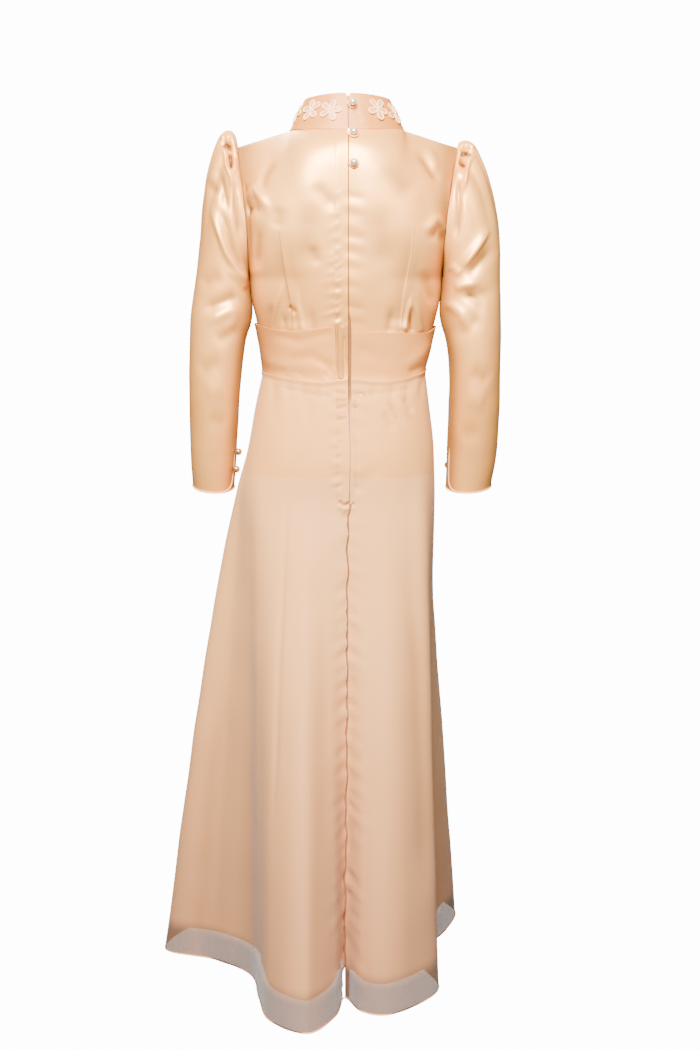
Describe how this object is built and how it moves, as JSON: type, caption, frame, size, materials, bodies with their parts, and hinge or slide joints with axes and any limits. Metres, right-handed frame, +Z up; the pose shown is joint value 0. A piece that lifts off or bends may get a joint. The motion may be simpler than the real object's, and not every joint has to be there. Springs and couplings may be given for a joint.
{
  "type": "filipiniana gown",
  "caption": "Full-length long-sleeved gown with a stand collar, back darts, pleated sleeve heads, a waistband and a lined sheer skirt, in its worn shape.",
  "frame": {"origin": "middle of the neck opening, level with the neck ends of the shoulder seams", "axes": "+Z up, +X towards the wearer's left, +Y towards the wearer's back"},
  "size_m": [0.5902, 0.6914, 1.4912],
  "materials": {
    "satin": "peach satin, smooth face with a soft wide sheen",
    "sheer": "matt sheer crepe cloth, pinkish beige, with a narrow rolled edge",
    "lining": "plain peach lining cloth",
    "waistband": "peach crepe, low sheen",
    "pearl": "pearl finish bead",
    "flower": "pink satin petals with an ivory corded edge",
    "zip_tape": "woven zip tape"
  },
  "bodies": {
    "root": {"back_button_1": "pearl", "back_button_2": "pearl", "back_button_3": "pearl", "back_loop_1": "satin", "back_loop_2": "satin", "back_loop_3": "satin", "bodice_back_left": "satin", "bodice_back_right": "satin", "bodice_front": "satin", "collar": "satin", "collar_flower_1": "flower", "collar_flower_10": "flower", "collar_flower_11": "flower", "collar_flower_2": "flower", "collar_flower_3": "flower", "collar_flower_4": "flower", "collar_flower_5": "flower", "collar_flower_6": "flower", "collar_flower_7": "flower", "collar_flower_8": "flower", "collar_flower_9": "flower", "cuff_button_left_1": "pearl", "cuff_button_left_2": "pearl", "cuff_button_right_1": "pearl", "cuff_button_right_2": "pearl", "cuff_piping_left": "satin", "cuff_piping_right": "satin", "lining_back_left": "lining", "lining_back_right": "lining", "lining_front": "lining", "skirt_back_left": "sheer", "skirt_back_right": "sheer", "skirt_front": "sheer", "sleeve_left": "satin", "sleeve_right": "satin", "waistband_back_left": "waistband", "waistband_back_right": "waistband", "waistband_front": "waistband", "waistband_placket": "waistband", "zip_tape": "zip_tape"}
  },
  "joints": []
}
